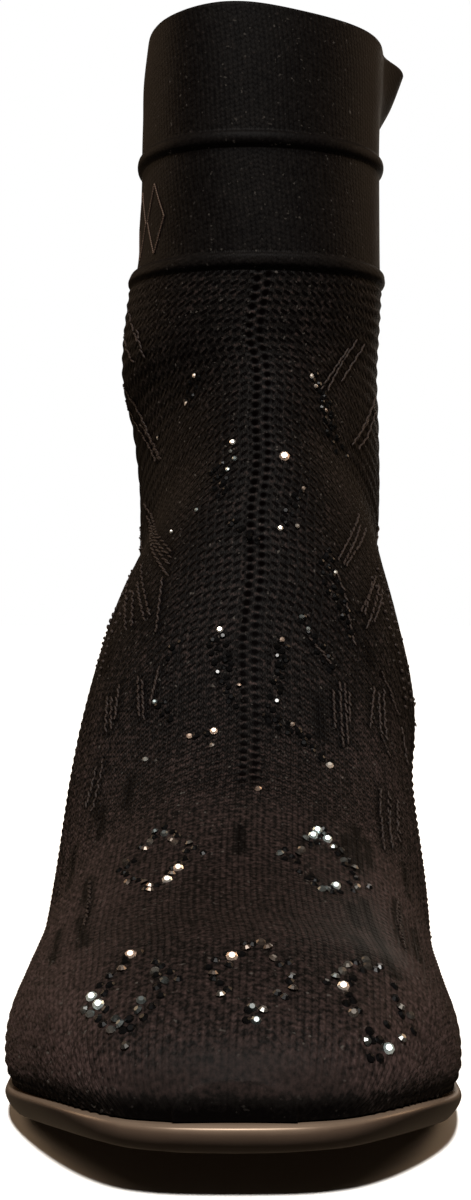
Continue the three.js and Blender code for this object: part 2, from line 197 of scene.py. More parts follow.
def section_points(sections, turn):
    """Points of each section at the given turns from the ridge, plus towards the medial side."""
    parts = [column[:, None] for column in sections.T]
    front_back, front_z, under_back, under_z, lateral, medial, widest, crown, base, lean, corner = parts
    across, up = np.sin(turn)[None], np.cos(turn)[None]
    power = np.where(up >= 0, 2 / crown, 2 / base)
    reach = np.abs(up) ** power
    along = np.where(up >= 0, widest + (1 - widest) * reach, widest * (1 - reach))
    slack = corner * np.exp(-(((np.arctan2(up, across) - CORNER_ANGLE) / CORNER_SPREAD) ** 2))
    wide = np.sign(across) * np.abs(across) ** power - np.where(up > 0, lean * up**2, 0)
    x = (medial - lateral) / 2 + (medial + lateral) / 2 * wide + slack * across
    y = under_back + (front_back - under_back) * along - slack * up - ORIGIN_BACK
    z = under_z + (front_z - under_z) * along
    return np.stack([x, y, z], -1)


def ridge_lengths(places):
    """Distance along the ridge from the toe to each place."""
    points = section_points(blend_sections(places), np.zeros(1))[:, 0]
    steps = np.linalg.norm(np.diff(points, axis=0), axis=1)
    return np.concatenate([[0], np.cumsum(steps)])


def half_turn(samples):
    """Turns from the ridge to the underside, closer together at the ends of both quarters."""
    quarter = (1 - np.cos(np.linspace(0, np.pi, samples + 1))) / 2
    return np.concatenate([quarter[:-1], 1 + quarter]) * np.pi / 2


def side_of_row(points, share):
    """One side of a section from the ridge down: even points, and their distance from the ridge."""
    over = points[:, 2] - sole_top(points[:, 1] + ORIGIN_BACK) - GAP
    below = np.nonzero(over < 0)[0]
    if len(below):
        end = below[0]
        t = over[end - 1] / (over[end - 1] - over[end])
        last = points[end - 1] + (points[end] - points[end - 1]) * t
        points = np.vstack([points[:end], last])
    length = np.concatenate([[0], np.cumsum(np.linalg.norm(np.diff(points, axis=0), axis=1))])
    wanted = share * length[-1]
    return np.stack([np.interp(wanted, length, points[:, k]) for k in range(3)], -1), wanted


def knit_grid(places, columns, middle_share):
    """Rows of points on the last's outer face, lateral to medial, and their distance from the ridge."""
    t = np.linspace(0, 1, columns // 2 + 1)
    share = middle_share * t + (1 - middle_share) * t**3
    turns = half_turn(150)
    sections = blend_sections(places)
    medial, lateral = section_points(sections, turns), section_points(sections, -turns)
    points, wales = [], []
    for row in range(len(places)):
        inner, inner_wale = side_of_row(medial[row], share)
        outer, outer_wale = side_of_row(lateral[row], share)
        points.append(np.vstack([outer[:0:-1], inner]))
        wales.append(np.concatenate([-outer_wale[:0:-1], inner_wale]))
    return np.array(points), np.array(wales)


def toe_rows(first, count):
    """Rows that close the toe's blunt end, from its lower edge up to the first section."""
    edge = sole_top(first[:, 1] + ORIGIN_BACK) + GAP
    rows = []
    for step in range(count):
        angle = step / count * np.pi / 2
        row = first.copy()
        row[:, 2] = edge + (first[:, 2] - edge) * np.sin(angle)
        row[:, 1] = first[:, 1] - 0.5 * np.cos(angle)
        rows.append(row)
    return np.array(rows)


def outward(points):
    """Outward normals of a grid of rows."""
    along = np.gradient(points, axis=0)
    across = np.gradient(points, axis=1)
    normal = np.cross(across, along)
    length = np.linalg.norm(normal, axis=2, keepdims=True)
    return normal / np.maximum(length, 1e-9)


def grid_mesh(name, points, uv, values):
    """A sheet with one quad between each four neighbouring points, its knit coordinates and its values."""
    rows, columns = points.shape[:2]
    shape = bmesh.new()
    bmesh.ops.create_grid(shape, x_segments=columns - 1, y_segments=rows - 1, size=1)
    shape.verts.ensure_lookup_table()
    place = np.array([vert.co[:2] for vert in shape.verts])
    column = np.rint((place[:, 0] + 1) / 2 * (columns - 1)).astype(int)
    row = np.rint((place[:, 1] + 1) / 2 * (rows - 1)).astype(int)
    flat_uv = uv[row, column]
    layer = shape.loops.layers.uv.new("knit")
    for face in shape.faces:
        for loop in face.loops:
            loop[layer].uv = flat_uv[loop.vert.index]
    mesh = bpy.data.meshes.new(name)
    shape.to_mesh(mesh)
    shape.free()
    mesh.vertices.foreach_set("co", (points[row, column] * MM).astype(np.float32).ravel())
    for key, value in values.items():
        attribute = mesh.attributes.new(key, "FLOAT", "POINT")
        attribute.data.foreach_set("value", value[row, column].astype(np.float32))
    mesh.update()
    return mesh


def weld(mesh):
    """Joins the points of a mesh that lie together."""
    shape = bmesh.new()
    shape.from_mesh(mesh)
    bmesh.ops.remove_doubles(shape, verts=shape.verts, dist=WELD)
    shape.to_mesh(mesh)
    shape.free()


def new_piece(name, mesh, material, slot, *nodes):
    """A piece that rides the boot and takes the place of the nodes that are named."""
    piece = bpy.data.objects.new(name, mesh)
    bpy.context.scene.collection.objects.link(piece)
    mesh.materials.append(material)
    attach(piece, "root")
    if nodes:
        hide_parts(*nodes)
    return piece


camera_data = bpy.data.cameras.new("camera")
camera_data.lens = CAMERA_LENS
camera_data.sensor_width = 36
camera = bpy.data.objects.new("camera", camera_data)
camera.location = CAMERA_PLACE
camera.rotation_euler = (np.pi / 2, 0, 0)
bpy.context.scene.collection.objects.link(camera)
bpy.context.scene.camera = camera


def linear(hex_colour):
    """An sRGB hex colour as the linear values that Blender takes."""
    channels = [int(hex_colour[i : i + 2], 16) / 255 for i in (1, 3, 5)]
    return tuple(c / 12.92 if c <= 0.04045 else ((c + 0.055) / 1.055) ** 2.4 for c in channels) + (1,)


def plug(node, inputs):
    """Sets a node's inputs, by name or index, to values, or links them to other nodes' outputs."""
    for key, source in inputs.items():
        if isinstance(source, bpy.types.NodeSocket):
            node.id_data.links.new(source, node.inputs[key])
        elif source is not None:
            node.inputs[key].default_value = source


def add_node(tree, kind, *inputs, stops=(), **settings):
    """Adds a node with its inputs, properties and colour stops, and gives its first output.

    A kind may carry its operation, as in Math.ADD. Inputs come in order or by name; None leaves one alone.
    """
    kind, _, operation = kind.partition(".")
    node = tree.nodes.new("ShaderNode" + kind)
    if operation:
        node.operation = operation
    plugged = dict(enumerate(inputs))
    for key, value in settings.items():
        if hasattr(node, key):
            setattr(node, key, value)
        else:
            plugged[key] = value
    plug(node, plugged)
    if stops:
        elements = node.color_ramp.elements
        for element, (position, colour) in zip(elements, (stops[0], stops[-1])):
            element.position = position
            element.color = linear(colour)
        for position, colour in stops[1:-1]:
            elements.new(position).color = linear(colour)
    return node.outputs[0]


def new_material(name):
    """A material, the function that adds nodes to it, its shader, and the place on the object."""
    material = bpy.data.materials.new(name)
    material.use_nodes = True
    add = partial(add_node, material.node_tree)
    return material, add, material.node_tree.nodes["Principled BSDF"], add("TexCoord").node.outputs["Object"]


def knitted_yarn():
    """Weft-knitted polyester yarn: matt, with a faint warm bloom; its colour carries painted shade in the
    gaps between its loops and in the ladder's holes, and painted fibre glints.
    """
    material, add, skin, place = new_material("knitted_polyester_yarn")
    mask = {key: add("Attribute", attribute_name=key).node.outputs["Fac"] for key in MASKS}
    split = add("SeparateXYZ", add("UVMap", uv_map="knit")).node
    wale = add("Math.MULTIPLY", split.outputs[0], 1000.0)
    course = add("Math.MULTIPLY", split.outputs[1], 1000.0)

    # V-shaped loops, 0 in the gaps to 1 on the yarn, that fall away from the ladder
    out = add("Math.ABSOLUTE", mask["from_ladder"])
    side = add("Math.PINGPONG", add("Math.DIVIDE", wale, STITCH), 0.5)
    row = add("Math.ADD", add("Math.DIVIDE", add("Math.MULTIPLY_ADD", out, LOOP_FALL, course), STITCH), side)
    arm = add("Math.SINE", add("Math.MULTIPLY", add("Math.FRACT", row), np.pi))
    round_off = add("Math.SINE", add("Math.MULTIPLY", side, 2 * np.pi))
    fine = add("Math.MULTIPLY", arm, add("Math.MULTIPLY_ADD", round_off, 0.55, 0.45))
    plain = add("Math.MULTIPLY_ADD", fine, 0.75, 0.08)

    # The open-work's rows fall away too, with small gaps half a step apart
    fall = add("Math.MULTIPLY_ADD", out, ROW_FALL, course)
    lattice_x = add("Math.COSINE", add("Math.MULTIPLY", mask["from_ladder"], np.pi / LOOP_WIDTH))
    lattice_y = add("Math.COSINE", add("Math.MULTIPLY", fall, 2 * np.pi / COURSE))
    gaps = add("MapRange", add("Math.MULTIPLY", lattice_x, lattice_y), 0.05, 0.6, 0.0, 0.68)
    open_work = add("Math.SUBTRACT", add("Math.MULTIPLY_ADD", fine, 0.25, 0.47), gaps)
    rib = add("Math.MULTIPLY", add("Math.PINGPONG", add("Math.DIVIDE", wale, RIB), 1.0), np.pi)
    grooves = add("Math.SINE", rib)
    ribbing = add("Math.MULTIPLY_ADD", grooves, 0.26, add("Math.MULTIPLY_ADD", fine, 0.22, 0.33))
    height = add("Mix", mask["open_work"], None, plain, open_work)
    height = add("Mix", mask["ribbed"], None, height, ribbing)
    height = add("Mix", mask["smooth"], None, height, 0.5)

    # Two columns of holes between flat rungs, one half a course lower than the other; the holes are not cut
    # but painted dark as shade
    lower = add("Math.MULTIPLY", add("Math.GREATER_THAN", mask["from_ladder"], 0.0), 0.5)
    rung = add("Math.FRACT", add("Math.ADD", add("Math.DIVIDE", course, COURSE), lower))
    step = add("Math.ABSOLUTE", add("Math.SUBTRACT", rung, 0.5))
    near = add("Math.MULTIPLY", add("MapRange", out, 2.7, 2.1, 0.0, 1.0), mask["ladder"])
    rungs = add("Math.ADD", add("Math.MULTIPLY_ADD", step, 1.2, 0.08), add("Math.MULTIPLY", fine, 0.2))
    height = add("Mix", near, None, height, rungs)
    across = add("Math.DIVIDE", add("Math.SUBTRACT", out, HOLE_OUT), HOLE_HALF_WIDTH)
    reach = add("CombineXYZ", across, add("Math.DIVIDE", step, HOLE_HALF_SHARE))
    far = add("VectorMath.LENGTH", reach).node.outputs["Value"]
    hole = add("Math.MULTIPLY", add("MapRange", far, 1.05, 0.5, 0.0, 1.0), mask["ladder"])
    yarn_share = add("Math.SUBTRACT", 1.0, hole)

    # Fuzz speckle and pale flecks are painted glints and shade of the fibres, drawn coarser than the real 0.1
    # mm fibres so that they show; patches are uneven dye
    fuzz = add("TexNoise", place, Scale=1000 / FUZZ, Detail=3.0)
    patch = add("TexNoise", place, Scale=1000 / PATCH, Detail=3.0)
    calm = add("Math.MULTIPLY_ADD", mask["smooth"], -0.7, 1.0)
    glint_speckle = add("Math.MULTIPLY", add("Math.MULTIPLY_ADD", fuzz, 2.0, -1.0), calm)
    # Painted shade: the colour darkens in the gaps between loops and in the holes, and takes in the upper's
    # painted light and shade
    light_and_tone = add("Math.ADD", add("Math.SUBTRACT", height, hole), glint_speckle)
    light_and_tone = add("Math.ADD", light_and_tone, add("Math.MULTIPLY_ADD", patch, 0.36, -0.18))
    light_and_tone = add("Math.MULTIPLY", add("Math.ADD", light_and_tone, mask["light_and_tone"]), 0.75)
    dye_and_shade = ((0, "#020101"), (0.375, "#0a0807"), (0.75, "#221a18"), (1, "#312624"))
    specks = add("TexNoise", place, Scale=1000 / FLECK, Detail=1.0)
    fibre_glint = add("MapRange", specks, 0.7, 0.8, 0.0, 0.8)
    fibre_glint = add("Math.MULTIPLY", fibre_glint, add("Math.SUBTRACT", yarn_share, mask["smooth"]))
    shade = add("ValToRGB", light_and_tone, stops=dye_and_shade)
    glint_flecked = add("Mix", data_type="RGBA", Factor=fibre_glint, A=shade, B=linear("#3b3733")).node.outputs["Result"]
    bump = add("Bump", Height=add("Math.MULTIPLY_ADD", fuzz, 0.3, height), Distance=0.0003, Strength=0.8)
    # The tops of the loops gleam most
    gleam = add("Math.MULTIPLY", yarn_share, add("Math.MULTIPLY_ADD", height, 1.1, 0.45))
    plug(skin, {
        "Base Color": glint_flecked,
        "Normal": bump,
        "Roughness": 0.6,
        "Specular IOR Level": add("Math.MULTIPLY", gleam, 0.031),
        "Sheen Weight": add("Math.MULTIPLY", gleam, 0.013),
        "Sheen Roughness": 0.4,
        "Sheen Tint": linear(BLOOM),
    })
    return material


def twisted_yarn():
    """Twisted polyester floats laid over the knit: thicker, a little paler and shinier along their backs."""
    material, add, skin, place = new_material("twisted_polyester_float")
    fibre = add("TexNoise", place, Scale=1000 / FIBRE, Detail=2.0)
    plug(skin, {
        "Base Color": add("ValToRGB", fibre, stops=((0.3, "#0f0c0b"), (0.7, "#2b221e"))),
        "Normal": add("Bump", Height=fibre, Distance=0.0001, Strength=0.6),
        "Roughness": 0.5,
        "Specular IOR Level": 0.1,
        "Sheen Weight": 0.02,
        "Sheen Tint": linear(BLOOM),
    })
    return material


def jet_glass():
    """Black glass, ground in flat facets: near black, with hard small glints."""
    material, add, skin, place = new_material("faceted_jet_glass")
    cloud = add("TexNoise", place, Scale=1000 / JET_CLOUD, Detail=1.0)
    shade = add("ValToRGB", cloud, stops=((0, "#020202"), (1, "#060607")))
    plug(skin, {"Base Color": shade, "Roughness": 0.25, "Specular IOR Level": 0.12})
    return material


def foiled_crystal():
    """Clear faceted glass, silvered behind: bright, its cast a little warm or cool from stone to stone;
    stones of low clarity are darkened to smoke as painted shade, for stones that don't catch the light.
    """
    material, add, skin, place = new_material("foil_backed_crystal")
    clarity_and_shade = add("Attribute", attribute_name="clarity_and_shade").node.outputs["Fac"]
    cast = add("TexNoise", place, Scale=1000 / CRYSTAL_CAST, Detail=0.0)
    shade = add("ValToRGB", cast, stops=((0.36, "#e2f4f4"), (0.5, "#fff6ea"), (0.64, "#ffe4d0")))
    # Smoke on stones of low clarity is painted shade
    smoke = add("Mix", data_type="RGBA", Factor=clarity_and_shade, A=linear("#1b1817"), B=shade).node.outputs["Result"]
    gleam = {"Metallic": 0.85, "Roughness": 0.3, "Coat Weight": clarity_and_shade, "Coat Roughness": 0.03}
    plug(skin, {"Base Color": smoke, **gleam})
    return material


def brushed_cloth(name, colour, thread):
    """Brushed polyester cloth: dull and dark, mottled at the size of its threads, given in mm."""
    material, add, skin, place = new_material(name)
    weave = add("TexNoise", place, Scale=1000 / thread, Detail=2.0)
    shade = add("ValToRGB", weave, stops=((0, "#0a0807"), (1, colour)))
    bump = add("Bump", Height=weave, Distance=0.0001, Strength=0.5)
    plug(skin, {"Base Color": shade, "Normal": bump, "Roughness": 0.9, "Specular IOR Level": 0.1})
    return material


def smooth_coat(name, colour, roughness):
    """Smooth lacquer or rubber of one colour, its gloss a little uneven from wear."""
    material, add, skin, place = new_material(name)
    wear = add("TexNoise", place, Scale=1000 / COAT_WEAR, Detail=3.0)
    spread = add("MapRange", wear, 0.0, 1.0, roughness * 0.8, roughness * 1.3)
    plug(skin, {
        "Base Color": linear(colour),
        "Roughness": spread,
        "IOR": 1.42,
        "Specular Tint": linear(WARM),
    })
    return material


def lacquered_sole():
    """Lacquered moulded sole: near black below, with a warm brown painted highlight towards its upper edge,
    mottled by wear.
    """
    material, add, skin, place = new_material("lacquered_moulded_sole")
    rise = add("Attribute", attribute_name="rise").node.outputs["Fac"]
    wear = add("TexNoise", place, Scale=1000 / SOLE_WEAR, Detail=4.0)
    painted_light_and_wear = add("Math.ADD", rise, add("Math.MULTIPLY_ADD", wear, 0.3, -0.15))
    shade = add("ValToRGB", painted_light_and_wear, stops=((0.35, "#060404"), (0.75, "#372c24"), (1, "#5c4e42")))
    spread = add("MapRange", wear, 0.0, 1.0, 0.26, 0.4)
    plug(skin, {"Base Color": shade, "Roughness": spread, "IOR": 1.45, "Specular Tint": linear(WARM)})
    return material


# Outer face of the upper, from the toe's lower edge over the ridge to the collar
ridge_places = np.linspace(0, SECTION_ENDS, 2600)
ridge = ridge_lengths(ridge_places)
collar_place = np.interp(COLLAR_HEIGHT - 1, blend_sections(ridge_places)[:, 1], ridge_places)
collar_length = np.interp(collar_place, ridge_places, ridge)


def course_marks(spacing, roll_spacing):
    """Distances along the ridge at which the upper's rows lie, closer together on the rolls."""
    z = blend_sections(ridge_places)[:, 1]
    marks = [0.0]
    while marks[-1] < collar_length:
        height = np.interp(marks[-1], ridge, z)
        near = min(abs(height - roll) for roll in ROLL_HEIGHTS) < ROLL_WIDTH
        marks.append(marks[-1] + (roll_spacing if near else spacing))
    marks[-1] = collar_length
    return np.array(marks)


def ease(value, start, end):
    """Goes smoothly from 0 at the start to 1 at the end."""
    t = np.clip((value - start) / (end - start), 0, 1)
    return t * t * (3 - 2 * t)


def knit_masks(points, course, wale):
    """Where each kind of knit lies, from 0 to 1, the distance in mm from the middle of the ladder, and the
    yarn's tone with painted light and shade.
    """
    course = np.broadcast_to(course, wale.shape)
    z = points[..., 2]
    from_ladder = wale - np.interp(course, *zip(*LADDER))
    below_roll = ease(z, ROLL_HEIGHTS[0] - 1.6, ROLL_HEIGHTS[0] - 3)
    leg = course > LEG_COURSE
    ladder = (0.65 * ease(course, 103, 108) + 0.35 * ease(course, 120, 170)) * np.where(leg, below_roll, 1)
    cuff = np.where(leg, ease(z, ROLL_HEIGHTS[0] + 1, ROLL_HEIGHTS[0] + 3), 0)
    ribbed = np.maximum(1 - ease(course, 96, 108), cuff)
    on_roll = [ease(abs(z - roll), ROLL_WIDTH / 2 + 0.5, ROLL_WIDTH / 2 - 0.3) for roll in ROLL_HEIGHTS]
    smooth = np.maximum(np.where(leg, 0.75 * np.maximum(*on_roll), 0), 0.8 * (1 - ease(course, 2, 9)))
    smooth = np.maximum(smooth, 0.4 * cuff)
    open_work = ladder * (1 - 0.4 * ease(abs(from_ladder), 14, 34)) * (1 - 0.4 * (1 - ease(course, 120, 150)))
    # Painted light: paler on the foot, towards the toe and on the sides of the foot. Painted shade: darker
    # under each roll, on a patch of the medial side and where the toe turns in above the sole. The cuff's
    # yarn is darker
    light_and_tone = 0.24 * (1 - ease(course, 90, 180)) + 0.14 * (1 - ease(course, 0, 24)) - 0.17 - 0.16 * cuff
    aside = ease(abs(wale), 16, 34)
    on_leg = ease(course, 130, 165)
    light_and_tone += aside * (0.16 * (1 - ease(course, 60, 110)) + 0.2 * (1 - on_leg) - 0.03 * on_leg)
    # Painted shade on a patch of the medial side of the foot
    light_and_tone -= 0.13 * ease(wale, 26, 40) * ease(course, 30, 46) * (1 - ease(course, 66, 84))
    # Painted shade under each roll
    for roll in ROLL_HEIGHTS:
        under = np.exp(-(((z - roll + ROLL_WIDTH / 2 + 0.2) / 0.9) ** 2))
        light_and_tone -= np.where(leg, 0.55 * under, 0)
    # Painted shade where the toe turns in above the sole
    edge = z - sole_top(points[..., 1] + ORIGIN_BACK)
    light_and_tone -= 0.8 * (1 - ease(edge, 1, 5.5))
    return dict(zip(MASKS, (from_ladder, ladder, open_work, ribbed, smooth, light_and_tone)))


def relief(points, course, masks):
    """How far the knit stands proud of the last, in mm: rolls, bars, knots and holes."""
    z = points[..., 2]
    height = np.zeros(z.shape)
    for roll in ROLL_HEIGHTS:
        inside = np.clip(1 - ((z - roll) / (ROLL_WIDTH / 2)) ** 2, 0, 1)
        height = np.maximum(height, np.where(course > LEG_COURSE, ROLL_PROUD * np.sqrt(inside), 0))
    bar = np.cos(2 * np.pi * course / COURSE)
    aside = ease(abs(masks["from_ladder"]), 22, 36)
    knots = bar * (-1.0) ** np.arange(z.shape[1])
    height += 0.2 * aside * knots * (1 - ease(course, 140, 170))
    below_cuff = np.where(course > LEG_COURSE, ease(z, ROLL_HEIGHTS[0] + 3, ROLL_HEIGHTS[0]), 1)
    height += 0.19 * bar * below_cuff * (1 - masks["smooth"]) * (1 - (0.8 - 0.6 * aside) * masks["ribbed"])
    column = np.clip(1 - abs(abs(masks["from_ladder"]) - 1.15) / 0.9, 0, 1)
    rung = np.where(masks["from_ladder"] > 0, -bar, bar)
    height -= 0.4 * masks["ladder"] * column * (0.5 - 0.5 * rung)
    return height


def tucked_in(points, course, normals):
    """The knit's lowest few millimetres, drawn in above the sole's edge."""
    edge = points[..., 2] - sole_top(points[..., 1] + ORIGIN_BACK)
    inward = np.zeros(points.shape)
    inward[..., 0] = points[..., 0].mean(1, keepdims=True) - points[..., 0]
    inward[..., 1] = 12
    inward /= np.linalg.norm(inward, axis=2, keepdims=True)
    at_toe = 1 - ease(course, 20, 60)[..., None]
    pull = inward * at_toe - normals * (1 - at_toe)
    return points + 1.1 * pull * ((1 - ease(edge, 0, 6)) ** 2)[..., None]


marks = course_marks(COURSE / 3, COURSE / 5)
places = np.interp(marks, ridge, ridge_places)
outer, outer_wale = knit_grid(places, KNIT_COLUMNS, 0.6)
blunt = toe_rows(outer[0], KNIT_END_ROWS)
outer_course = np.repeat(marks[:, None], outer.shape[1], 1)
blunt_course = -np.repeat(np.linspace(7, 0.8, KNIT_END_ROWS)[:, None], outer.shape[1], 1)
points = np.concatenate([blunt, outer])
course = np.concatenate([blunt_course, outer_course])
wale = np.concatenate([np.repeat(outer_wale[:1], KNIT_END_ROWS, 0), outer_wale])
normals = outward(points)
# Each pass evens the normals out a little, so that the relief follows the whole shape
for _ in range(5):
    for axis in (0, 1):
        before, after = np.roll(normals, 1, axis), np.roll(normals, -1, axis)
        inner = [slice(None), slice(None)]
        inner[axis] = slice(1, -1)
        normals[tuple(inner)] = ((before + after + 2 * normals) / 4)[tuple(inner)]
normals /= np.linalg.norm(normals, axis=2, keepdims=True)
masks = knit_masks(points, course, wale)
proud = relief(points, course, masks) + (0.45 + 0.25 * normals[..., 0]) * ease(course, 40, 100)
points = tucked_in(points, course, normals) + normals * proud[..., None]
# The collar stands a little higher in the middle of the front
bell = np.exp(-((points[..., 0] / 15) ** 2)) * np.clip(-normals[..., 1], 0, 1)
points[..., 2] += 1.5 * bell * np.where(course > LEG_COURSE, ease(points[..., 2], 212, 230), 0)
surface = {"course": course[:, 0], "wale": wale, "points": points, "normals": normals}

# The collar's rim turns over into the lining
rim_normals = normals[-1]
rim_turns = np.radians([25, 50, 75, 100, 125, 150, 180])[:, None, None]
rim_middle = points[-1] - rim_normals * WALL / 2
rim = rim_middle + WALL / 2 * (rim_normals * np.cos(rim_turns) + np.array([0, 0, 1]) * np.sin(rim_turns))
rim = np.concatenate([rim, rim[-1:] - [0, 0, 3]])
points = np.concatenate([points, rim])
rim_course = collar_length + np.array([0.4, 0.9, 1.3, 1.7, 2.2, 2.6, 3.1, 6.1])
course = np.concatenate([course, np.repeat(rim_course[:, None], outer.shape[1], 1)])
wale = np.concatenate([wale, np.repeat(outer_wale[-1:], len(rim), 0)])
uv = np.stack([wale, course], -1) / 1000
masks = {key: np.concatenate([value, np.repeat(value[-1:], len(rim), 0)]) for key, value in masks.items()}
skin_mesh = grid_mesh("knit_upper", points, uv, masks)
weld(skin_mesh)
skin_mesh.shade_smooth()
new_piece("knit_upper", skin_mesh, knitted_yarn(), "knit", "upper")

# Lining, a wall's thickness inside
lining_course = np.linspace(2.5, collar_length - 2, LINING_ROWS)
lining_places = np.interp(lining_course, ridge, ridge_places)
lining_points, lining_wale = knit_grid(lining_places, LINING_COLUMNS, 0.9)
lining_points = lining_points - outward(lining_points) * WALL
lining_points = np.concatenate([toe_rows(lining_points[0], LINING_END_ROWS), lining_points])
lining_wale = np.concatenate([np.repeat(lining_wale[:1], LINING_END_ROWS, 0), lining_wale])
lining_course = np.concatenate([np.linspace(-4, 1, LINING_END_ROWS), lining_course])[:, None]
lining_uv = np.stack([lining_wale, np.repeat(lining_course, lining_wale.shape[1], 1)], -1) / 1000
lining_mesh = grid_mesh("lining", lining_points[:, ::-1], lining_uv[:, ::-1], {})
weld(lining_mesh)
lining_mesh.shade_smooth()
new_piece("lining", lining_mesh, brushed_cloth("brushed_polyester_lining", "#14100f", 0.6), "lining")


def dressed_copy(node, name, material, slot, round_edge, smoothing):
    """A merged copy of a CAD node with its sharp edges rounded and its facets smoothed."""
    shape = bmesh.new()
    shape.from_mesh(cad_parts[node].data)
    bmesh.ops.remove_doubles(shape, verts=shape.verts, dist=1e-6)
    limits = dict(angle_face_threshold=0.3, angle_shape_threshold=1.2)
    bmesh.ops.join_triangles(shape, faces=shape.faces, cmp_sharp=True, **limits)
    sharp = [edge for edge in shape.edges if edge.is_manifold and edge.calc_face_angle() > 0.7]
    rounded = dict(affect="EDGES", segments=2, profile=0.5, material=-1, clamp_overlap=True)
    bmesh.ops.bevel(shape, geom=sharp, offset=round_edge, offset_type="OFFSET", **rounded)
    bmesh.ops.remove_doubles(shape, verts=shape.verts, dist=1e-5)
    mesh = bpy.data.meshes.new(name)
    shape.to_mesh(mesh)
    shape.free()
    mesh.shade_smooth()
    piece = new_piece(name, mesh, material, slot, node)
    if smoothing:
        finer = piece.modifiers.new("finer", "SUBSURF")
        finer.levels = smoothing
        finer.render_levels = smoothing
    return piece


sole = dressed_copy("outsole", "sole", lacquered_sole(), "glossy_sole", 0.0008, 1)
sole_points = np.zeros(len(sole.data.vertices) * 3)
sole.data.vertices.foreach_get("co", sole_points)
sole_points = sole_points.reshape(-1, 3) / MM
# Painted light and shade on the sole's side: lighter towards its upper edge, and darker below the top edge
# away from the toe's tip
rise = sole.data.attributes.new("rise", "FLOAT", "POINT")
under = sole_top(sole_points[:, 1] + ORIGIN_BACK) - SOLE_THICKNESS
to_tip = np.hypot(sole_points[:, 0], sole_points[:, 1] + ORIGIN_BACK)
share_up = (sole_points[:, 2] - under) / SOLE_THICKNESS
rise.data.foreach_set("value", share_up - 0.5 * ease(to_tip, 14, 36) * (1 - ease(share_up, 0.8, 1)))
heel_cover = smooth_coat("lacquered_heel_cover", "#0c0a09", 0.2)
dressed_copy("heel", "block_heel", heel_cover, "heel_cover", 0.0008, 1)
lift_rubber = smooth_coat("moulded_heel_rubber", "#0e0d0c", 0.55)
dressed_copy("top_lift", "heel_rubber", lift_rubber, "rubber", 0.0004, 0)
bed_cloth = brushed_cloth("brushed_polyester_insole", "#171210", 0.5)
dressed_copy("insole", "sock_bed", bed_cloth, "lining", 0.0005, 0)


def on_knit(course, wale):
    """A place on the knit: its point, its outward normal and its direction towards the collar."""
    rows = surface["course"]
    row = float(np.interp(course, rows, np.arange(len(rows))))
    found = []
    for index in (int(row), min(int(row) + 1, len(rows) - 1)):
        column = np.interp(wale, surface["wale"][index], np.arange(surface["wale"].shape[1]))
        low, t = int(column), column - int(column)
        high = min(low + 1, surface["wale"].shape[1] - 1)
        kinds = (surface["points"][index], surface["normals"][index])
        found.append([kind[low] * (1 - t) + kind[high] * t for kind in kinds])
    t = row - int(row)
    point, normal = (found[0][k] * (1 - t) + found[1][k] * t for k in (0, 1))
    return Vector(point), Vector(normal).normalized(), Vector(found[1][0] - found[0][0])


def lay(point, normal, heading, spin, size):
    """The transform that lays a unit shape on the knit, x along the heading turned by spin, z outwards."""
    x = (heading - normal * heading.dot(normal)).normalized()
    x.rotate(Matrix.Rotation(spin, 3, normal))
    y = normal.cross(x)
    turn = Matrix((x, y, normal)).transposed().to_4x4()
    stretch = Matrix.Diagonal((*(side * MM for side in size), 1))
    return Matrix.Translation(point * MM) @ turn @ stretch


def unit_shape(make, **settings):
    """A small shape made once, to be laid many times."""
    shape = bmesh.new()
    make(shape, **settings)
    mesh = bpy.data.meshes.new("unit")
    shape.to_mesh(mesh)
    shape.free()
    return mesh


def lay_all(name, unit, matrices):
    """One mesh with the unit shape at each of the given transforms."""
    shape = bmesh.new()
    for matrix in matrices:
        copy = unit.copy()
        copy.transform(matrix)
        shape.from_mesh(copy)
        bpy.data.meshes.remove(copy)
    mesh = bpy.data.meshes.new(name)
    shape.to_mesh(mesh)
    shape.free()
    return mesh


skin_tree = BVHTree.FromPolygons(
    [vert.co.copy() for vert in skin_mesh.vertices], [face.vertices[:] for face in skin_mesh.polygons]
)


def on_photo(x, y):
    """The place on the knit that the camera sees at a pixel of the photograph, or just inside the outline."""
    scale = camera_data.lens / camera_data.sensor_width * PHOTO_HEIGHT
    point = None
    while point is None:
        sight = Vector(((x - PHOTO_WIDTH / 2) / scale, 1, (PHOTO_HEIGHT / 2 - y) / scale))
        point, normal, _, _ = skin_tree.ray_cast(camera.location, sight.normalized())
        x += (PHOTO_WIDTH / 2 - x) * 0.02
    return point / MM, normal


def stitch_line(places, stitch, turn, size):
    """Stitches laid one behind the other through places on the knit, given as point and normal."""
    found = []
    for (start, _), (end, _) in zip(places, places[1:]):
        steps = max(1, round((end - start).length / stitch))
        for step in range(steps):
            point = start.lerp(end, (step + 0.5) / steps)
            near, normal, _, _ = skin_tree.find_nearest(point * MM)
            found.append(lay(near / MM + normal * 0.15, normal, end - start, turn, size))
    return found


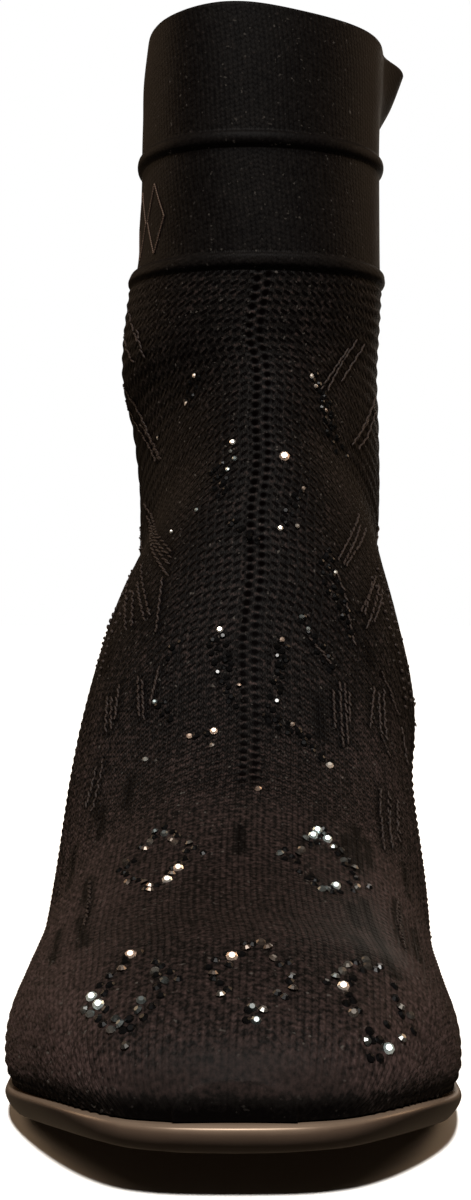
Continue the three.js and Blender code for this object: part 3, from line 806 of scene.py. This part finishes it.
# Raised ribs of twisted floats, by their places in the photograph, from the upper end down
RIBS = [
    ((125, 334), (134, 362)), ((127, 310), (138, 342)), ((137, 330), (145, 358)),
    ((124, 384), (143, 420), (151, 440)), ((126, 400), (141, 432), (156, 462)),
    ((131, 398), (150, 437), (161, 459)), ((141, 424), (160, 460)), ((357, 340), (341, 364), (327, 391)),
    ((348, 349), (320, 390)), ((364, 345), (341, 381)), ((374, 400), (366, 423), (356, 440)),
    ((375, 413), (367, 438), (358, 449)), ((368, 420), (352, 444)), ((375, 398), (362, 430)),
    ((144, 504), (171, 552)), ((150, 525), (169, 564)), ((151, 544), (168, 576)),
    ((147, 516), (171, 558)), ((360, 526), (343, 565)), ((365, 529), (346, 566)),
    ((358, 514), (338, 560)), ((372, 582), (364, 615)), ((378, 585), (366, 628)),
    ((375, 576), (360, 612)), ((382, 590), (374, 622)), ((163, 577), (156, 633)),
    ((141, 564), (150, 615)), ((138, 582), (145, 621)), ((130, 570), (126, 630)),
    ((133, 591), (132, 627)), ((336, 572), (345, 597), (348, 615), (355, 645)), ((310, 638), (334, 667)),
    ((340, 682), (343, 747)), ((345, 684), (348, 744)), ((349, 692), (350, 722)),
    ((333, 690), (335, 728)), ((374, 687), (370, 728)), ((378, 693), (381, 735), (390, 757)),
    ((383, 690), (387, 740)), ((382, 672), (393, 700), (399, 716)), ((402, 727), (407, 765)),
    ((142, 680), (144, 720)), ((160, 666), (150, 705)), ((108, 697), (106, 732)),
    ((112, 697), (111, 729)), ((120, 685), (115, 720)), ((138, 676), (139, 716)), ((104, 760), (92, 812)),
    ((97, 766), (86, 808)), ((381, 790), (384, 850)), ((389, 792), (392, 848)), ((397, 800), (399, 842)),
    ((90, 880), (84, 926)), ((398, 900), (404, 948)),
]
# Looser knots where the ribs meet the outline of the leg and the instep
BANDS = [
    ((376, 566), (388, 594), (393, 618), (402, 644), (409, 680), (411, 705)),
    ((370, 574), (382, 600), (388, 624), (397, 650), (404, 684), (406, 712)),
    ((126, 582), (116, 606), (105, 630), (93, 675)), ((132, 588), (122, 610), (111, 636), (99, 680)),
]
# Short gaps between loops, without floats, drawn only as strokes of painted shade on the sides of the toe and
# the instep
SLOTS = [
    ((352, 903), (358, 927)), ((364, 900), (373, 930)), ((355, 936), (368, 966)),
    ((373, 926), (389, 966)), ((345, 838), (347, 866)), ((356, 828), (359, 872)),
    ((366, 840), (369, 866)), ((384, 958), (398, 978)), ((66, 792), (62, 830)), ((94, 786), (97, 822)),
    ((102, 808), (100, 838)), ((88, 880), (82, 906)), ((79, 918), (84, 944)), ((112, 640), (106, 672)),
    ((98, 664), (92, 694)), ((318, 700), (322, 738)), ((366, 644), (372, 668)), ((392, 636), (398, 668)),
    ((74, 850), (68, 888)), ((58, 930), (52, 962)), ((404, 866), (410, 900)), ((414, 930), (420, 962)),
    ((130, 780), (126, 806)), ((240, 826), (240, 852)),
]
float_stitches = []
for rib in RIBS:
    float_stitches += stitch_line([on_photo(*place) for place in rib], FLOAT_STEP, 0.2, FLOAT)
for band in BANDS:
    float_stitches += stitch_line([on_photo(*place) for place in band], KNOT_STEP, 0.8, KNOT)
slot_shade_places = []
for slot in SLOTS:
    slot_shade_places += stitch_line([on_photo(*place) for place in slot], 1.0, 0, FLOAT)
# Like ribs go on round both sides, where the photograph doesn't show them
for side in (-1, 1):
    for low in (106, 130, 160, 190):
        for k in range(3):
            ends = ((low + 13 - 2 * k, side * (66 + 3 * k)), (low - 2 * k, side * (56 + 3 * k)))
            float_stitches += stitch_line([on_knit(*end)[:2] for end in ends], FLOAT_STEP, 0.3, FLOAT)
bead = unit_shape(bmesh.ops.create_uvsphere, u_segments=8, v_segments=5, radius=1)
ribs_mesh = lay_all("raised_ribs", bead, float_stitches)
ribs_mesh.shade_smooth()
new_piece("raised_ribs", ribs_mesh, twisted_yarn(), "knit")

# Painted shade in the gaps beside the floats and along the slots: the knit's colour darkens near them
rib_tree = KDTree(len(float_stitches) + len(slot_shade_places))
for index, matrix in enumerate(float_stitches + slot_shade_places):
    rib_tree.insert(matrix.translation, index)
rib_tree.balance()
shaded_tones = np.zeros(len(skin_mesh.vertices), np.float32)
skin_mesh.attributes["light_and_tone"].data.foreach_get("value", shaded_tones)
for index, vert in enumerate(skin_mesh.vertices):
    away = rib_tree.find(vert.co)[2] / MM
    if away < 4:
        shaded_tones[index] -= 0.7 * np.exp(-((away / 1.15) ** 2))
skin_mesh.attributes["light_and_tone"].data.foreach_set("value", shaded_tones)

# Rubber print on the cuff, a little glossier than the knit: two thin outlined lozenges side by side
PRINT_MIDDLE = (155, 219)
PRINT_HALF_HEIGHT, PRINT_HALF_WIDTH, PRINT_PITCH = 8.5, 4.5, 10.5
dash = unit_shape(bmesh.ops.create_uvsphere, u_segments=6, v_segments=4, radius=1)
dashes = []
middle, facing = on_photo(*PRINT_MIDDLE)
for _ in range(2):
    across = facing.cross(Vector((0, 0, 1))).normalized()
    corners = []
    for up, over in ((1, 0), (0, 1), (-1, 0), (0, -1), (1, 0)):
        corner = middle + across * (over * PRINT_HALF_WIDTH) + Vector((0, 0, up * PRINT_HALF_HEIGHT))
        near, normal, _, _ = skin_tree.find_nearest(corner * MM)
        corners.append((near / MM, normal))
    dashes += stitch_line(corners, 0.6, 0, (0.5, 0.2, 0.2))
    near, facing, _, _ = skin_tree.find_nearest((middle + across * PRINT_PITCH) * MM)
    middle = near / MM
print_mesh = lay_all("cuff_print", dash, dashes)
print_mesh.shade_smooth()
new_piece("cuff_print", print_mesh, smooth_coat("screen_printed_rubber", "#2a1f1b", 0.45), "knit")

# Stones, by their place in the photograph: x, y, width in mm and clarity from smoky to clear, which paints
# how brightly each stone catches the light
BRIGHT = [
    (195, 376, 1.2, 0.9), (187, 404, 1.2, 0.9), (233, 442, 1.4, 1), (284, 456, 2.5, 1),
    (235, 459, 1.2, 0.3), (228, 470, 1.2, 0.6), (311, 376, 1.3, 0.9), (315, 386, 1.0, 0.5),
    (325, 410, 1.0, 0.3), (280, 529, 1.3, 1), (297, 526, 1.1, 0.5), (303, 489, 1.0, 0.4),
    (197, 510, 1.0, 0.4), (335, 573, 1.2, 0.5), (220, 630, 1.5, 1), (282, 640, 1.3, 0.6),
    (301, 617, 1.1, 0.2), (308, 629, 1.1, 0.4), (239, 686, 1.1, 0.4), (155, 702, 1.2, 0.4),
    (214, 732, 1.7, 1), (190, 737, 1.4, 0.9), (212, 746, 1.3, 0.3), (292, 725, 1.2, 0.3),
    (329, 766, 1.8, 0.9), (146, 760, 1.3, 0.5), (258, 790, 1.5, 0.3), (231, 452, 1.0, 0.2),
    (159, 438, 1.1, 0.3), (172, 532, 1.0, 0.4),
]
# Chains of dark stones, by the places of their ends in the photograph
CHAINS = [
    ((312, 373), (326, 401)), ((326, 401), (329, 427)), ((329, 427), (344, 459)),
    ((320, 384), (334, 440)), ((195, 376), (187, 404)), ((212, 468), (222, 499)),
    ((218, 462), (230, 492)), ((230, 520), (262, 545)), ((300, 489), (283, 525)),
    ((327, 548), (338, 590)), ((338, 590), (352, 640)), ((322, 556), (334, 600)),
    ((300, 615), (318, 645)), ((318, 645), (333, 674)), ((210, 638), (222, 675)),
    ((222, 675), (234, 710)), ((218, 634), (232, 672)), ((278, 640), (283, 668)),
    ((285, 645), (276, 690)), ((276, 690), (268, 718)), ((264, 719), (300, 738)),
    ((300, 738), (331, 765)), ((272, 716), (310, 738)), ((190, 737), (214, 732)),
    ((178, 640), (168, 662)), ((160, 700), (168, 722)),
]
# Lozenges of stones on the toe, in mm: course and wale of the middle, half height and half width
LOZENGES = [(82, -15, 14, 9), (82, 18, 14, 9), (21, 2, 12, 9), (21, -18, 12, 8), (21, 22, 12, 8)]


def set_stone(point, normal, width, spin):
    """The transform of one stone, flat behind and let a little into the knit."""
    return lay(point + normal * 0.2, normal, Vector((0.3, 0.1, 1)), spin, (width / 2, width / 2, width / 2))


def scatter(number):
    """A share from 0 to 1 that looks unrelated to its neighbours', the same on every run."""
    return (np.sin(number * 12.9898) * 43758.5453) % 1


def turned(normal, angle, share):
    """The normal leant to one side, so that a stone doesn't mirror the key light."""
    aside = normal.orthogonal().normalized()
    aside.rotate(Matrix.Rotation(angle, 3, normal))
    return (normal + share * aside).normalized()


def glinting(point, normal):
    """The knit's normal turned to where a flat stone throws the key light at the camera."""
    to_camera = (camera.location - point * MM).normalized()
    halfway = (to_camera + Vector(KEY_FROM).normalized()).normalized()
    return (normal + 3 * halfway).normalized()


bright_stones, dark_stones, clarities_and_shades = [], [], []


def set_clear_stone(point, normal, width, spin, clarity_and_shade):
    """Lays a stone; only the clearest ones catch the key light."""
    facing = glinting(point, normal) if clarity_and_shade > 0.9 else turned(normal, spin * 5, 0.4)
    bright_stones.append(set_stone(point + normal * 0.3, facing, width, spin))
    clarities_and_shades.append(clarity_and_shade)


for number, (x, y, width, clarity_and_shade) in enumerate(BRIGHT):
    set_clear_stone(*on_photo(x, y), width, number * 0.7, clarity_and_shade)
for number, ends in enumerate(CHAINS):
    first, last = (on_photo(*end)[0] for end in ends)
    stones = max(2, round((last - first).length / CHAIN_STEP))
    for step in range(stones):
        x, y = np.add(ends[0], np.subtract(ends[1], ends[0]) * (step + 0.4) / stones)
        wander = 3 * (-1) ** step + 1.2 * np.sin(number * 2.1 + step * 2.6)
        point, normal = on_photo(x + wander, y)
        facing = turned(normal, number + step * 2.1, 0.3)
        dark_stones.append(set_stone(point, facing, 1.6 + 0.2 * np.sin(step * 1.7), step * 0.9))
for number, (course_at, wale_at, high, wide) in enumerate(LOZENGES):
    stones = round(4 * np.hypot(high, wide) / LOZENGE_STEP)
    corners = [(1, 0), (0, 1), (-1, 0), (0, -1), (1, 0)]
    for step in range(stones):
        side, t = divmod(4 * step / stones, 1)
        up, over = np.array(corners[int(side)]) * (1 - t) + np.array(corners[int(side) + 1]) * t
        for inset in (0, LOZENGE_STEP):
            chance = scatter(step * 3 + number * 41 + inset)
            stray = 0.8 * (scatter(step + number * 17 + inset) - 0.5)
            if chance < 0.3:
                continue
            along, aside = course_at + up * (high - inset) + stray, wale_at + over * (wide - inset) - stray
            point, normal, _ = on_knit(along, aside)
            if chance < 0.5:
                set_clear_stone(point, normal, 1.7, step * 0.8, 0.03 + 0.6 * (chance - 0.3))
            elif chance > 0.95:
                set_clear_stone(point, normal, 2.0, step * 0.8, 1)
            else:
                dark_stones.append(set_stone(point, turned(normal, step * 2.1, 0.3), 1.8, step * 0.8 + inset))
cut = dict(cap_ends=True, segments=8, radius1=1, radius2=0.52, depth=0.55)
stone_shape = unit_shape(bmesh.ops.create_cone, **cut)
clear_mesh = lay_all("clear_stones", stone_shape, bright_stones)
clarity_values = clear_mesh.attributes.new("clarity_and_shade", "FLOAT", "POINT")
clarity_values.data.foreach_set("value", np.repeat(np.float32(clarities_and_shades), len(stone_shape.vertices)))
new_piece("clear_stones", clear_mesh, foiled_crystal(), "knit")
new_piece("dark_stones", lay_all("dark_stones", stone_shape, dark_stones), jet_glass(), "knit")
for unit in (bead, dash, stone_shape):
    bpy.data.meshes.remove(unit)

# Pale studio floor and soft light
floor_shape = bmesh.new()
bmesh.ops.create_grid(floor_shape, x_segments=1, y_segments=1, size=6)
floor_mesh = bpy.data.meshes.new("floor")
floor_shape.to_mesh(floor_mesh)
floor_shape.free()
floor = bpy.data.objects.new("floor", floor_mesh)
bpy.context.scene.collection.objects.link(floor)
# Matt paper: pale and without gloss, so that the floor shows only a soft shadow
floor_material, _, floor_skin, _ = new_material("pale_matt_paper")
plug(floor_skin, {"Base Color": linear("#f2f0ee"), "Roughness": 0.9})
floor_mesh.materials.append(floor_material)
# The sole would otherwise mirror the white paper instead of a dim room
floor.visible_glossy = False

world = bpy.data.worlds.new("studio")
world.use_nodes = True
add = partial(add_node, world.node_tree)
ray = add("LightPath").node.outputs
mirrored = add("Math.MULTIPLY_ADD", ray["Is Glossy Ray"], 0.1, 0.012)
room = add("Mix", data_type="RGBA", Factor=ray["Is Camera Ray"], A=linear("#ffddb8"), B=(1, 1, 1, 1))
plug(world.node_tree.nodes["Background"], {
    "Strength": add("Math.MAXIMUM", ray["Is Camera Ray"], mirrored),
    "Color": room.node.outputs["Result"],
})
bpy.context.scene.world = world
bpy.context.scene.view_settings.view_transform = "Standard"


def add_light(name, kind, place, aim, colour, **settings):
    """A light at a place, turned towards its aim."""
    data = bpy.data.lights.new(name, kind)
    data.color = linear(colour)[:3]
    for key, value in settings.items():
        setattr(data, key, value)
    light = bpy.data.objects.new(name, data)
    light.location = place
    light.rotation_euler = (Vector(aim) - Vector(place)).to_track_quat("-Z", "Y").to_euler()
    bpy.context.scene.collection.objects.link(light)


add_light("key", "SUN", KEY_FROM, (0, 0, 0), "#fffcf8", energy=6.4, angle=0.1)
for side in (-1, 1):
    add_light("side", "AREA", (0.5 * side, 0.3, 0.4), (0, 0, 0.1), "#ffd8b0", energy=1.0, size=0.3)
add_light("back", "AREA", (0.1, 0.8, 0.35), (0, 0, 0.1), "#fff4e6", energy=1.5, size=0.5)
